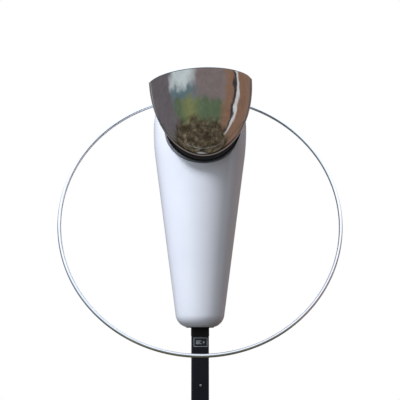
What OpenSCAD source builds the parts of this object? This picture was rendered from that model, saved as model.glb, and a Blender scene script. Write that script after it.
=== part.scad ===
// Single-scoop vertical axis turbine on a square mast.
// Millimetres. Origin: centre of the base plate's underside. +Z up, front is -Y.

/* [Mast] */
// Width of the square base plate
base_w = 200; // [180:1:260]
// Thickness of the base plate
base_t = 10; // [8:1:16]
// Distance between neighbouring base bolts
base_pitch = 150; // [125:1:180]
// Diameter of the base bolt holes
base_hole_d = 13; // [9:1:18]
// Thickness of the base gussets
gusset_t = 6; // [4:1:10]
// Height of the base gussets
gusset_h = 60; // [40:1:90]
// Outside width of the square mast tube
mast_w = 60; // [50:1:76]
// Wall of the mast tube
mast_wall = 4; // [3:0.5:6]
// Outside corner radius of the mast tube
mast_corner = 5; // [4.5:0.5:8]
// Height of the pod's underside above the floor face
pod_z = 500; // [400:1:1200]
// How far the mast tube reaches into the pod
mast_in_pod = 80; // [70:1:90]
// Wall of the rubber sleeve on the mast
sleeve_t = 1; // [0.6:0.1:2]
// How far the sleeve shows below the pod
sleeve_drop = 30; // [10:1:60]
// How far the sleeve reaches into the pod
sleeve_in_pod = 12; // [5:1:25]
// Size of the rating plate, width and height
plate_size = [51, 32];
// Thickness of the rating plate
plate_t = 0.6; // [0.4:0.1:1]
// Distance from the pod's underside down to the rating plate
plate_drop = 35; // [32:1:80]
// Distance from the pod's underside down to the access screw
screw_drop = 199; // [150:1:300]

/* [Pod] */
// Largest diameter of the pod
pod_d = 346; // [280:1:420]
// Height of the pod
pod_h = 930; // [770:1:1120]
// Radius that the tapered side would have at the underside
foot_r = 81.4; // [76:0.1:98]
// Radius of the rounded lower edge
edge_r = 50; // [40:1:60]
// Height of the dome above the pod's widest line
dome_h = 195; // [180:1:230]
// Length of the shoulder below the widest line
shoulder_l = 125; // [80:1:160]
// Wall of the pod shells
pod_wall = 4; // [3:0.5:6]
// Width of the inner seam flange
flange_w = 12; // [10:1:16]
// Thickness of each seam flange
flange_t = 4; // [3:0.5:6]
// Thickness of the seam gasket
gasket_t = 1; // [0.5:0.1:2]
// Running gap between the mast's corners and the base seal
seal_gap = 1.2; // [1:0.1:4]
// Wall of the base seal ring
seal_wall = 4; // [3:0.5:6]

/* [Hoop] */
// Diameter of the hoop, measured on the tube's centre line
hoop_d = 1000; // [960:1:1250]
// Outside diameter of the hoop tube
hoop_tube_d = 13; // [10:0.5:18]
// Wall of the hoop tube
hoop_wall = 2; // [1:0.5:3]
// Backward lean of the hoop, in degrees
hoop_tilt = 15.6; // [8:0.1:20]
// Distance of the hoop's top behind the spin axis
hoop_top_y = 60; // [50:1:66]
// Distance of the hoop's top below the pod's top
hoop_drop = 58; // [52:1:70]
// Turn of the hoop and its clamp about the spin axis, in degrees
hoop_turn = -3; // [-6:0.5:6]
// Open gap between the hoop's two ends
hoop_gap = 2; // [1:0.5:4]
// Width, depth and half height of the hoop clamp
clamp_size = [48, 32, 14];

/* [Scoop] */
// Rim radius of the scoop bowl
scoop_r = 187; // [160:1:225]
// Depth of the whole bowl under its rim
scoop_depth = 283; // [240:1:340]
// Distance from the bowl's axis to the flat back
scoop_cut = 57; // [40:1:70]
// Sheet thickness of the bowl
scoop_wall = 1.5; // [1:0.1:3]
// Thickness of the back plate
back_t = 2; // [1.5:0.1:4]
// Width of the welding flange around the bowl
lip_w = 4; // [3:0.5:10]
// Height of the rim above the scoop's pivot
rim_h = 157.5; // [145:0.5:190]
// Diameter of the edge trim on the rim
trim_d = 4.4; // [4:0.1:8]
// Turn of the scoop at rest from its level stop, in degrees
scoop_roll = 3.4; // [0:0.1:10]

/* [Collar] */
// Distance of the scoop's pivot below the pod's top
pivot_drop = 231; // [221:1:240]
// Outside diameter of the collar
collar_d = 268; // [225:1:320]
// Wall of the collar
collar_wall = 4; // [3:0.5:8]
// How far the collar stands out from the pod's widest line
collar_stand = 10; // [8:1:30]
// Gap between the collar's face and the scoop's back
collar_gap = 3; // [2:0.5:6]

/* [Pivot] */
// Diameter of the scoop's pivot shaft
shaft_d = 30; // [24:1:34]
// Radial running gap of the shaft in its bushes
shaft_gap = 0.05; // [0.02:0.01:0.1]
// Wall of the pivot bushes
bush_wall = 5; // [3:0.5:6]
// Length of each pivot bush
bush_l = 40; // [25:1:60]
// Wall of the pivot housing
housing_wall = 10; // [8:1:12]
// Running gap between the swivel disc and the collar's bore
disc_gap = 2; // [1:0.5:8]
// Thickness of the swivel disc
disc_t = 8; // [6:1:12]
// Number of swivel bolts
swivel_bolts_n = 6; // [4:1:12]

/* [Drive] */
// Bore of the main bearings
bearing_bore = 40; // [35:1:45]
// Outside diameter of the main bearings
bearing_d = 80; // [72:1:85]
// Width of the main bearings
bearing_w = 18; // [15:1:23]
// Height of the lower bearing above the pod's underside
bearing_h = 100; // [94:1:112]
// Wall of the hub tubes
hub_wall = 5; // [4:0.5:8]
// Thickness of the bulkheads
bulkhead_t = 6; // [4:1:10]
// Overall height of the generator
gen_h = 130; // [110:1:150]
// Height of the stator core
core_h = 80; // [60:1:84]
// Radial air gap of the generator
air_gap = 1; // [0.6:0.1:2]
// Thickness of the magnets
magnet_t = 6; // [4:0.5:10]
// Thickness of the back iron
iron_t = 8; // [6:0.5:12]
// Number of magnets
magnets_n = 16; // [12:2:20]
// Number of stator teeth
teeth_n = 12; // [9:3:15]
// Height of the counterweight
weight_h = 110; // [80:1:130]

/* [Hidden] */
$fn = 96;
eps = 0.01;
big = 2000;

// Pod outline: straight taper, shoulder arc, elliptical dome
pod_r = pod_d / 2;
belly_z = pod_h - dome_h;
shoulder_h = belly_z - shoulder_l;
taper = atan((pod_r - foot_r) / (shoulder_h + shoulder_l / 2));
shoulder_r = shoulder_l / sin(taper);
belly_r = foot_r + shoulder_h * tan(taper) + shoulder_l * tan(taper / 2);
edge_tangent_h = edge_r * (1 - sin(taper));
edge_x = foot_r + edge_tangent_h * tan(taper) - edge_r * cos(taper);
edge_steps = 8;
shoulder_steps = 5;
dome_steps = 16;

// Radius of the pod at height h above its underside
function pod_radius(h) =
    h < shoulder_h ? foot_r + h * tan(taper)
    : h < belly_z ? belly_r - shoulder_r + sqrt(pow(shoulder_r, 2) - pow(belly_z - h, 2))
    : belly_r * sqrt(max(0, 1 - pow((h - belly_z) / dome_h, 2)));

function pod_outline(inset) = concat(
    [[0, inset]],
    [for (i = [0 : edge_steps])
        let (a = -90 + (90 - taper) * i / edge_steps)
        [edge_x + (edge_r - inset) * cos(a), edge_r + (edge_r - inset) * sin(a)]],
    [for (i = [0 : shoulder_steps])
        let (a = -taper + taper * i / shoulder_steps)
        [belly_r - shoulder_r + (shoulder_r - inset) * cos(a), belly_z + (shoulder_r - inset) * sin(a)]],
    [for (i = [1 : dome_steps])
        let (a = 90 * i / dome_steps)
        [i == dome_steps ? 0 : (belly_r - inset) * cos(a), belly_z + (dome_h - inset) * sin(a)]]
);

// Mast
mast_top = pod_z + mast_in_pod;
head_h = 70;
cross_d = 10;
cross_z = [mast_top - 20, mast_top - 50];
cable_hole_z = 60;
cable_hole_d = 20;
gland_l = 22;
sleeve_corner = mast_corner + sleeve_t;
sleeve_w = mast_w + 2 * sleeve_t;
screw_z = pod_z - screw_drop;
screw_d = 6;

// Base seal
seal_r = sleeve_w / sqrt(2) + seal_gap;
mouth_r = seal_r + seal_wall;
seal_h = 16;

// Vertical stack, worked down from the pod's top
pod_top = pod_z + pod_h;
pivot_z = pod_top - pivot_drop;
hoop_top_z = pod_top - hoop_drop;
bearing_r = bearing_d / 2;
hub_r = bearing_r + hub_wall;
housing_r = shaft_d / 2 + bush_wall + housing_wall;
pivot_space = 62;
upper_bearing_z = pivot_z - housing_r - pivot_space - bearing_w;
lower_bearing_z = pod_z + bearing_h;
nut_h = 12;
spindle_top = upper_bearing_z + bearing_w + nut_h + 5;
spindle_r = bearing_bore / 2;
spindle_foot_r = spindle_r + 5;
ledge_h = 6;
ledge_w = 4;
lower_bulkhead_rise = 40;
lower_bulkhead_z = lower_bearing_z + lower_bulkhead_rise;
upper_bulkhead_drop = 25;
upper_bulkhead_z = upper_bearing_z - upper_bulkhead_drop;
gen_drop = 90;
gen_z1 = upper_bulkhead_z - gen_drop;
gen_z0 = gen_z1 - gen_h;
bell_t = 8;
hub_flange_r = hub_r + 17;
hub_flange_t = 6;
gen_clear = 3;
gen_r = pod_radius(gen_z0 - pod_z) - pod_wall - flange_w - gen_clear;
iron_r = gen_r - iron_t;
magnet_r = iron_r - magnet_t;
stator_r = magnet_r - air_gap;
core_z = (gen_z0 + gen_z1 - core_h) / 2;
tooth_w = 14;
shoe_t = 6;
core_hub_r = 52;
coil_t = 6;
magnet_over = 4;
bell_bolts_n = 6;
bell_bolt_r = hub_r + 9;
bell_bolt_d = 6;

// Bearings
race_t = 6;
ball_gap = 0.05;
balls_n = 9;

// Hub cap and hoop clamp
cap_t = 10;
cap_margin = 6;
clamp_half = clamp_size[2];
clamp_slit = 0.6;
hub_top = hoop_top_z - clamp_half - cap_t - 8;
clamp_foot_z = hub_top + cap_t;
cap_r = hub_r + 12;
hoop_r = hoop_d / 2;
tube_r = hoop_tube_d / 2;
hoop_centre = [0, hoop_top_y - hoop_r * sin(hoop_tilt), hoop_top_z - hoop_r * cos(hoop_tilt)];
hoop_gap_a = hoop_gap / hoop_r * 180 / PI;
joiner_a = 7;
clamp_bolt_d = 6;
grommet_wall = 4.5;
grommet_a = 3.6;

// Angle from the hoop's top at which its tube leaves the dome
function hoop_outside(a) =
    let (x = hoop_r * sin(a),
         y = hoop_top_y - hoop_r * sin(hoop_tilt) * (1 - cos(a)),
         z = hoop_top_z - hoop_r * cos(hoop_tilt) * (1 - cos(a)))
    norm([x, y]) > pod_radius(z - pod_z);
function leave_angle(low, high, steps) =
    let (middle = (low + high) / 2)
    steps == 0 ? middle
    : hoop_outside(middle) ? leave_angle(low, middle, steps - 1)
    : leave_angle(middle, high, steps - 1);
grommet_mid_a = leave_angle(2, 40, 16);

// Collar, pivot and scoop, front is -Y
collar_y = -(pod_r + collar_stand);
plate_y = collar_y - collar_gap;
collar_r = collar_d / 2;
collar_seal_gap = 0.3;
disc_r = collar_r - collar_wall - disc_gap;
shaft_r = shaft_d / 2;
bush_r = shaft_r + bush_wall;
bush_flange_r = bush_r + 6;
bush_flange_t = 3;
thrust_gap = 0.3;
boss_r = shaft_r + 9;
housing_y0 = plate_y + disc_t + 3;
housing_y1 = hub_r + 5;
washer_t = 4;
pivot_nut_t = 14;
shaft_end_y = housing_y1 + thrust_gap + washer_t + pivot_nut_t + 4;
swivel_bolt_d = 8;
swivel_bolt_inset = 43;
swivel_bolt_r = disc_r - swivel_bolt_inset;
bowl_y = plate_y + scoop_cut - back_t;
chord = sqrt(pow(scoop_r, 2) - pow(scoop_cut, 2));
lip_t = 1.5;
back_half_w = chord + lip_w;
back_depth = scoop_depth * chord / scoop_r + lip_w;
rim_arc = acos(scoop_cut / scoop_r);
bowl_steps = 24;
back_steps = 32;

// Counterweight
weight_y = shaft_end_y + 6;
weight_half_w = 110;
weight_gap = 2;
weight_bolt_x = 60;
weight_bolt_y = weight_y + 22;
weight_bolt_d = 10;

// ---- Helpers ----

module rounded_square(w, r) {
    square([w - 2 * r, w], center = true);
    square([w, w - 2 * r], center = true);
    for (x = [-1, 1], y = [-1, 1])
        translate([x * (w / 2 - r), y * (w / 2 - r)])
            circle(r);
}

module square_tube(w, wall, r, h) {
    linear_extrude(h)
        difference() {
            rounded_square(w, r);
            rounded_square(w - 2 * wall, max(0.5, r - wall));
        }
}

module ring(r_out, r_in, h) {
    difference() {
        cylinder(r = r_out, h = h);
        translate([0, 0, -1])
            cylinder(r = r_in, h = h + 2);
    }
}

// A cylinder along +Y from y0 to y1
module rod_y(r, y0, y1) {
    translate([0, y0, 0])
        rotate([-90, 0, 0])
            cylinder(r = r, h = y1 - y0);
}

// A cylinder along +X from x0 to x1
module rod_x(r, x0, x1) {
    translate([x0, 0, 0])
        rotate([0, 90, 0])
            cylinder(r = r, h = x1 - x0);
}

// Hexagonal prism with the given width across flats
module hexagon(flats, h) {
    cylinder(r = flats / sqrt(3), h = h, $fn = 6);
}

module pod_body(inset) {
    translate([0, 0, pod_z])
        rotate_extrude()
            polygon(pod_outline(inset));
}

// The half space on one side of the seam, side 1 is the rear
module seam_side(side) {
    translate([-big / 2, side > 0 ? gasket_t / 2 : -big - gasket_t / 2, 0])
        cube([big, big, big]);
}

// A slab across the seam that is 2 * t thick
module seam_slab(t) {
    translate([-big / 2, -t, 0])
        cube([big, 2 * t, big]);
}

// Places a ring drawn in the XY plane, with +Y as its top, at the hoop
module at_hoop() {
    rotate([0, 0, hoop_turn])
        translate(hoop_centre)
            rotate([90 - hoop_tilt, 0, 0])
                children();
}

// Part of a torus on the hoop's centre line, a is measured from the hoop's top
module hoop_arc(r, a_mid, a_span) {
    at_hoop()
        rotate([0, 0, 90 - a_mid - a_span / 2])
            rotate_extrude(angle = a_span, $fn = 180)
                translate([hoop_r, 0])
                    circle(r, $fn = 48);
}

// Places what is drawn about the scoop's pivot, level and facing -Y
module at_scoop() {
    translate([0, 0, pivot_z])
        rotate([0, -scoop_roll, 0])
            children();
}

// ---- Mast ----

module base_plate() color([0.05, 0.06, 0.08])
    difference() {
        translate([-base_w / 2, -base_w / 2, 0])
            cube([base_w, base_w, base_t]);
        for (x = [-1, 1], y = [-1, 1])
            translate([x * base_pitch / 2, y * base_pitch / 2, -1])
                cylinder(d = base_hole_d, h = base_t + 2);
    }

module base_gussets() color([0.05, 0.06, 0.08])
    for (a = [0 : 90 : 270])
        rotate([0, 0, a])
            translate([mast_w / 2, gusset_t / 2, base_t])
                rotate([90, 0, 0])
                    linear_extrude(gusset_t)
                        polygon([[0, 0], [base_w / 2 - mast_w / 2 - 8, 0], [base_w / 2 - mast_w / 2 - 8, 6],
                                 [8, gusset_h], [0, gusset_h]]);

module cross_holes() {
    for (z = cross_z)
        translate([0, 0, z])
            rod_x(cross_d / 2, -mast_w, mast_w);
}

module mast_tube() color([0.06, 0.07, 0.10])
    difference() {
        translate([0, 0, base_t])
            square_tube(mast_w, mast_wall, mast_corner, mast_top - base_t);
        cross_holes();
        translate([0, 0, screw_z])
            rod_y(screw_d / 2, -mast_w, 0);
        translate([0, 0, cable_hole_z + gusset_h])
            rod_y(cable_hole_d / 2, 0, mast_w);
    }

module mast_sleeve() color([0.04, 0.04, 0.045])
    translate([0, 0, pod_z - sleeve_drop])
        square_tube(sleeve_w, sleeve_t, sleeve_corner, sleeve_drop + sleeve_in_pod);

module rating_plate() color([0.07, 0.07, 0.08])
    translate([-plate_size[0] / 2 + 1, -mast_w / 2 - plate_t, pod_z - plate_drop - plate_size[1]])
        cube([plate_size[0] - 2, plate_t, plate_size[1]]);

module access_screw() color([0.6, 0.6, 0.6])
    translate([0, 0, screw_z]) {
        rod_y(screw_d / 2, -mast_w / 2, -mast_w / 2 + mast_wall + 6);
        rod_y(screw_d * 0.8, -mast_w / 2 - 3, -mast_w / 2);
    }

module cable_gland() color([0.08, 0.08, 0.08])
    translate([0, mast_w / 2, cable_hole_z + gusset_h])
        difference() {
            union() {
                rod_y(cable_hole_d / 2, -mast_wall - 6, 0);
                rotate([-90, 0, 0])
                    hexagon(26, 6);
                rod_y(11, 6, gland_l);
            }
            rod_y(5, -mast_wall - 8, gland_l + 1);
        }

module mast_head() color([0.55, 0.56, 0.58])
    difference() {
        translate([0, 0, mast_top - head_h])
            linear_extrude(head_h)
                rounded_square(mast_w - 2 * mast_wall, max(0.5, mast_corner - mast_wall));
        translate([0, 0, mast_top - head_h + 8])
            cylinder(r = spindle_foot_r, h = head_h);
        cross_holes();
    }

module cross_bolts() color([0.7, 0.7, 0.72])
    for (z = cross_z)
        translate([0, 0, z]) {
            rod_x(cross_d / 2, -mast_w / 2, mast_w / 2 + 1);
            for (s = [-1, 1])
                mirror([s < 0 ? 1 : 0, 0, 0])
                    translate([mast_w / 2, 0, 0])
                        rotate([0, 90, 0])
                            hexagon(16, 6.4);
        }

module spindle() color([0.7, 0.7, 0.72])
    difference() {
        union() {
            translate([0, 0, mast_top - head_h + 8])
                cylinder(r = spindle_foot_r, h = lower_bearing_z - mast_top + head_h - 8);
            translate([0, 0, lower_bearing_z - eps])
                cylinder(r = spindle_r, h = spindle_top - lower_bearing_z + eps);
        }
        cross_holes();
    }

module spindle_nut() color([0.6, 0.6, 0.62])
    translate([0, 0, upper_bearing_z + bearing_w])
        difference() {
            hexagon(56, nut_h);
            translate([0, 0, -1])
                cylinder(r = spindle_r, h = nut_h + 2);
        }

// ---- Generator ----

module stator_core() color([0.45, 0.45, 0.48])
    translate([0, 0, core_z])
        difference() {
            union() {
                cylinder(r = core_hub_r, h = core_h);
                for (i = [0 : teeth_n - 1])
                    rotate([0, 0, i * 360 / teeth_n])
                        translate([core_hub_r - 5, -tooth_w / 2, 0])
                            cube([stator_r - shoe_t - core_hub_r + 7, tooth_w, core_h]);
                for (i = [0 : teeth_n - 1])
                    rotate([0, 0, (i - 0.43) * 360 / teeth_n])
                        rotate_extrude(angle = 0.86 * 360 / teeth_n)
                            translate([stator_r - shoe_t, 0])
                                square([shoe_t, core_h]);
            }
            translate([0, 0, -1])
                cylinder(r = spindle_r, h = core_h + 2);
        }

module stator_coils() color([0.72, 0.40, 0.18])
    for (i = [0 : teeth_n - 1])
        rotate([0, 0, i * 360 / teeth_n])
            translate([core_hub_r + 7, 0, core_z])
                difference() {
                    translate([0, -tooth_w / 2 - coil_t, -coil_t])
                        cube([stator_r - shoe_t - core_hub_r - 9, tooth_w + 2 * coil_t, core_h + 2 * coil_t]);
                    translate([-1, -tooth_w / 2, 0])
                        cube([stator_r, tooth_w, core_h]);
                }

module bell(z) {
    translate([0, 0, z])
        difference() {
            ring(gen_r, spindle_r + 8, bell_t);
            for (i = [0 : bell_bolts_n - 1])
                rotate([0, 0, i * 360 / bell_bolts_n])
                    translate([bell_bolt_r, 0, -1])
                        cylinder(d = bell_bolt_d, h = bell_t + 2);
        }
}

module bell_lower() color([0.75, 0.76, 0.78])
    bell(gen_z0);

module bell_upper() color([0.75, 0.76, 0.78])
    bell(gen_z1 - bell_t);

module bell_bolts() color([0.5, 0.5, 0.52])
    for (i = [0 : bell_bolts_n - 1])
        rotate([0, 0, i * 360 / bell_bolts_n])
            translate([bell_bolt_r, 0, 0]) {
                translate([0, 0, gen_z0 - hub_flange_t]) {
                    cylinder(d = bell_bolt_d, h = hub_flange_t + bell_t);
                    translate([0, 0, -4])
                        hexagon(10, 4);
                }
                translate([0, 0, gen_z1 - bell_t]) {
                    cylinder(d = bell_bolt_d, h = hub_flange_t + bell_t);
                    translate([0, 0, hub_flange_t + bell_t])
                        hexagon(10, 4);
                }
            }

module back_iron() color([0.4, 0.4, 0.42])
    translate([0, 0, gen_z0 + bell_t])
        ring(gen_r, iron_r, gen_h - 2 * bell_t);

module magnets() color([0.8, 0.8, 0.82])
    for (i = [0 : magnets_n - 1])
        rotate([0, 0, i * 360 / magnets_n])
            translate([0, 0, core_z - magnet_over])
                rotate_extrude(angle = 0.84 * 360 / magnets_n)
                    translate([magnet_r, 0])
                        square([magnet_t, core_h + 2 * magnet_over]);

// ---- Bearings and hub ----

module bearing_inner_races() color([0.82, 0.83, 0.85])
    for (z = [lower_bearing_z, upper_bearing_z])
        translate([0, 0, z])
            ring(spindle_r + race_t, spindle_r, bearing_w);

module bearing_outer_races() color([0.82, 0.83, 0.85])
    for (z = [lower_bearing_z, upper_bearing_z])
        translate([0, 0, z])
            ring(bearing_r, bearing_r - race_t, bearing_w);

module bearing_balls() color([0.9, 0.9, 0.92])
    for (z = [lower_bearing_z, upper_bearing_z], i = [0 : balls_n - 1])
        rotate([0, 0, i * 360 / balls_n])
            translate([(spindle_r + bearing_r) / 2, 0, z + bearing_w / 2])
                sphere(r = (bearing_r - spindle_r) / 2 - race_t - ball_gap);

// A hub tube from z0 to z1, with the bolting flange and the bearing's ledge
module hub_tube(z0, z1, flange_z, ledge_z) {
    difference() {
        union() {
            translate([0, 0, z0])
                ring(hub_r, bearing_r, z1 - z0);
            translate([0, 0, flange_z])
                ring(hub_flange_r, bearing_r, hub_flange_t);
            translate([0, 0, ledge_z])
                ring(bearing_r + 1, bearing_r - ledge_w, ledge_h);
        }
        for (i = [0 : bell_bolts_n - 1])
            rotate([0, 0, i * 360 / bell_bolts_n])
                translate([bell_bolt_r, 0, flange_z - 1])
                    cylinder(d = bell_bolt_d, h = hub_flange_t + 2);
    }
}

module hub_tube_lower() color([0.68, 0.69, 0.72])
    hub_tube(lower_bearing_z - 2, gen_z0, gen_z0 - hub_flange_t, lower_bearing_z + bearing_w);

module hub_tube_upper() color([0.68, 0.69, 0.72])
    difference() {
        hub_tube(gen_z1, hub_top, gen_z1, upper_bearing_z - ledge_h);
        translate([0, 0, pivot_z])
            rod_y(housing_r, -hub_r - 1, hub_r + 1);
    }

module hub_cap() color([0.62, 0.63, 0.66])
    translate([0, 0, hub_top]) {
        cylinder(r = cap_r, h = cap_t);
        rotate([0, 0, hoop_turn])
            translate([-clamp_size[0] / 2 - cap_margin, 0, 0])
                cube([clamp_size[0] + 2 * cap_margin, hoop_top_y + clamp_size[1] / 2 + cap_margin, cap_t]);
    }

module bulkhead(z) {
    difference() {
        intersection() {
            translate([0, 0, z])
                cylinder(r = pod_d, h = bulkhead_t);
            pod_body(pod_wall);
        }
        translate([0, 0, z - 1])
            cylinder(r = hub_r, h = bulkhead_t + 2);
        difference() {
            seam_slab(gasket_t / 2 + flange_t);
            pod_body(pod_wall + flange_w);
        }
    }
}

module lower_bulkhead() color([0.66, 0.68, 0.70])
    bulkhead(lower_bulkhead_z);

module upper_bulkhead() color([0.66, 0.68, 0.70])
    difference() {
        bulkhead(upper_bulkhead_z);
        for (x = [-1, 1])
            translate([x * weight_bolt_x, weight_bolt_y, upper_bulkhead_z - 1])
                cylinder(d = weight_bolt_d, h = bulkhead_t + 2);
    }

module counterweight() color([0.35, 0.36, 0.38])
    difference() {
        intersection() {
            pod_body(pod_wall + weight_gap);
            translate([-weight_half_w, weight_y, upper_bulkhead_z + bulkhead_t])
                cube([2 * weight_half_w, pod_d, weight_h]);
        }
        for (x = [-1, 1])
            translate([x * weight_bolt_x, weight_bolt_y, upper_bulkhead_z])
                cylinder(d = weight_bolt_d, h = bulkhead_t + 30);
    }

module counterweight_bolts() color([0.7, 0.7, 0.72])
    for (x = [-1, 1])
        translate([x * weight_bolt_x, weight_bolt_y, upper_bulkhead_z]) {
            cylinder(d = weight_bolt_d, h = bulkhead_t + 28);
            translate([0, 0, -6.4])
                hexagon(16, 6.4);
        }

// ---- Pod ----

// One shell: the wall, its seam flange, the base mouth
module pod_half(side) {
    difference() {
        union() {
            intersection() {
                difference() {
                    pod_body(0);
                    pod_body(pod_wall);
                }
                seam_side(side);
            }
            intersection() {
                difference() {
                    pod_body(pod_wall / 2);
                    pod_body(pod_wall + flange_w);
                }
                seam_slab(gasket_t / 2 + flange_t);
                seam_side(side);
            }
        }
        translate([0, 0, pod_z - 1])
            cylinder(r = mouth_r, h = seal_h + edge_r);
        seam_holes();
    }
}

module pod_shell_front() color([0.86, 0.89, 0.94])
    difference() {
        pod_half(-1);
        translate([0, 0, pivot_z])
            rod_y(housing_r, -pod_d, 0);
    }

module pod_shell_rear() color([0.86, 0.89, 0.94])
    difference() {
        pod_half(1);
        for (s = [-1, 1])
            hoop_arc(tube_r + grommet_wall, s * grommet_mid_a, 2 * grommet_a);
    }

module seam_gasket() color([0.1, 0.1, 0.1])
    difference() {
        intersection() {
            difference() {
                pod_body(0.5);
                pod_body(pod_wall + flange_w);
            }
            seam_slab(gasket_t / 2);
        }
        translate([0, 0, pod_z - 1])
            cylinder(r = mouth_r, h = seal_h + edge_r);
        seam_holes();
    }

seam_screw_d = 5;
seam_heights = [for (i = [0 : 4]) 75 + i * (belly_z - 135) / 4];

module at_seam_screws() {
    for (h = seam_heights, s = [-1, 1])
        translate([s * (pod_radius(h) - pod_wall - flange_w / 2 - 0.5), 0, pod_z + h])
            children();
}

module seam_holes() {
    at_seam_screws()
        rod_y(seam_screw_d / 2, -3 * flange_t, 3 * flange_t);
}

module seam_screws() color([0.75, 0.75, 0.77])
    at_seam_screws() {
        rod_y(seam_screw_d / 2, -flange_t - gasket_t / 2, flange_t + gasket_t / 2 + 4);
        rod_y(4.5, -flange_t - gasket_t / 2 - 3, -flange_t - gasket_t / 2);
        translate([0, flange_t + gasket_t / 2, 0])
            rotate([-90, 0, 0])
                hexagon(8, 4);
    }

module base_seal() color([0.05, 0.05, 0.055])
    translate([0, 0, pod_z - 1])
        ring(mouth_r, seal_r, seal_h);

// ---- Hoop ----

module hoop() color([0.75, 0.77, 0.80])
    at_hoop()
        rotate([0, 0, 90 + hoop_gap_a / 2])
            rotate_extrude(angle = 360 - hoop_gap_a, $fn = 180)
                translate([hoop_r, 0])
                    difference() {
                        circle(tube_r, $fn = 48);
                        circle(tube_r - hoop_wall, $fn = 48);
                    }

module hoop_joiner() color([0.6, 0.6, 0.62])
    hoop_arc(tube_r - hoop_wall, 0, joiner_a);

module clamp_block(z0, z1) {
    difference() {
        rotate([0, 0, hoop_turn])
            translate([-clamp_size[0] / 2, hoop_top_y - clamp_size[1] / 2, z0])
                cube([clamp_size[0], clamp_size[1], z1 - z0]);
        hoop_arc(tube_r, 0, 4 * joiner_a);
        clamp_bolt_shanks(0);
    }
}

module at_clamp_bolts() {
    rotate([0, 0, hoop_turn])
        for (x = [-1, 1], y = [-1, 1])
            translate([x * (clamp_size[0] / 2 - 7), hoop_top_y + y * (clamp_size[1] / 2 - 4.2), 0])
                children();
}

module clamp_bolt_shanks(depth) {
    at_clamp_bolts()
        translate([0, 0, clamp_foot_z - depth])
            cylinder(d = clamp_bolt_d, h = hoop_top_z + clamp_half - clamp_foot_z + depth);
}

module hoop_clamp_base() color([0.3, 0.31, 0.33])
    clamp_block(clamp_foot_z, hoop_top_z - clamp_slit / 2);

module hoop_clamp_cap() color([0.3, 0.31, 0.33])
    clamp_block(hoop_top_z + clamp_slit / 2, hoop_top_z + clamp_half);

module clamp_bolts() color([0.7, 0.7, 0.72]) {
    clamp_bolt_shanks(0);
    at_clamp_bolts()
        translate([0, 0, hoop_top_z + clamp_half])
            cylinder(d = 10, h = 5);
}

module hoop_grommets() color([0.06, 0.06, 0.065])
    for (s = [-1, 1])
        at_hoop()
            rotate([0, 0, 90 - s * grommet_mid_a - grommet_a / 2])
                rotate_extrude(angle = grommet_a, $fn = 180)
                    translate([hoop_r, 0])
                        difference() {
                            circle(tube_r + grommet_wall, $fn = 48);
                            circle(tube_r, $fn = 48);
                        }

// ---- Collar and pivot ----

module collar() color([0.08, 0.09, 0.11])
    difference() {
        translate([0, 0, pivot_z])
            rod_y(collar_r, collar_y, -pod_r / 4);
        translate([0, 0, pivot_z])
            rod_y(collar_r - collar_wall, collar_y - 1, 0);
        pod_body(0);
    }

module collar_seal() color([0.04, 0.04, 0.045])
    translate([0, 0, pivot_z])
        difference() {
            rod_y(collar_r - 0.5, plate_y + collar_seal_gap, collar_y);
            rod_y(collar_r - collar_wall + 0.5, plate_y - 1, collar_y + 1);
        }

module pivot_housing() color([0.58, 0.6, 0.62])
    translate([0, 0, pivot_z])
        difference() {
            rod_y(housing_r, housing_y0, housing_y1);
            rod_y(bush_r, housing_y0 - 1, housing_y1 + 1);
            rod_y(bush_flange_r, housing_y0 - 1, housing_y0 + bush_flange_t);
            rod_y(bush_flange_r, housing_y1 - bush_flange_t, housing_y1 + 1);
        }

// A flanged bush with its flange at y, running towards +Y for dir 1
module bush(y, dir) {
    translate([0, y, pivot_z])
        mirror([0, dir > 0 ? 0 : 1, 0])
            difference() {
                union() {
                    rod_y(bush_r, 0, bush_l);
                    rod_y(bush_flange_r, 0, bush_flange_t);
                }
                rod_y(shaft_r + shaft_gap, -1, bush_l + 1);
            }
}

module pivot_bushes() color([0.72, 0.55, 0.25]) {
    bush(housing_y0, 1);
    bush(housing_y1, -1);
}

module pivot_shaft() color([0.72, 0.73, 0.75])
    at_scoop()
        rod_y(shaft_r, plate_y, shaft_end_y);

module pivot_washer() color([0.65, 0.65, 0.67])
    at_scoop()
        difference() {
            rod_y(bush_flange_r, housing_y1 + thrust_gap, housing_y1 + thrust_gap + washer_t);
            rod_y(shaft_r, 0, shaft_end_y);
        }

module pivot_nut() color([0.65, 0.65, 0.67])
    at_scoop()
        difference() {
            translate([0, housing_y1 + thrust_gap + washer_t, 0])
                rotate([-90, 0, 0])
                    hexagon(shaft_d * 1.5, pivot_nut_t);
            rod_y(shaft_r, 0, shaft_end_y + 1);
        }

module at_swivel_bolts() {
    for (i = [0 : swivel_bolts_n - 1])
        rotate([0, i * 360 / swivel_bolts_n, 0])
            translate([swivel_bolt_r, 0, 0])
                children();
}

module swivel_disc() color([0.6, 0.62, 0.64])
    at_scoop()
        difference() {
            union() {
                rod_y(disc_r, plate_y, plate_y + disc_t);
                rod_y(boss_r, plate_y, housing_y0 - thrust_gap);
            }
            rod_y(shaft_r, plate_y - 1, housing_y0 + 1);
            at_swivel_bolts()
                rod_y(swivel_bolt_d / 2, plate_y - 1, plate_y + disc_t + 1);
        }

module swivel_bolts() color([0.75, 0.75, 0.77])
    at_scoop()
        at_swivel_bolts() {
            rod_y(swivel_bolt_d / 2, plate_y - back_t, plate_y + disc_t);
            rod_y(swivel_bolt_d * 0.85, plate_y - back_t - 4.5, plate_y - back_t);
        }

// ---- Scoop ----

// Lower half of the bowl's solid of revolution, level, about its own axis
module bowl_body(inset) {
    translate([0, bowl_y, rim_h])
        rotate_extrude($fn = 144)
            polygon(concat([[0, 0]],
                [for (i = [0 : bowl_steps])
                    let (a = -90 * i / bowl_steps)
                    [i == bowl_steps ? 0 : (scoop_r - inset) * cos(a), (scoop_depth - inset) * sin(a)]]));
}

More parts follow.
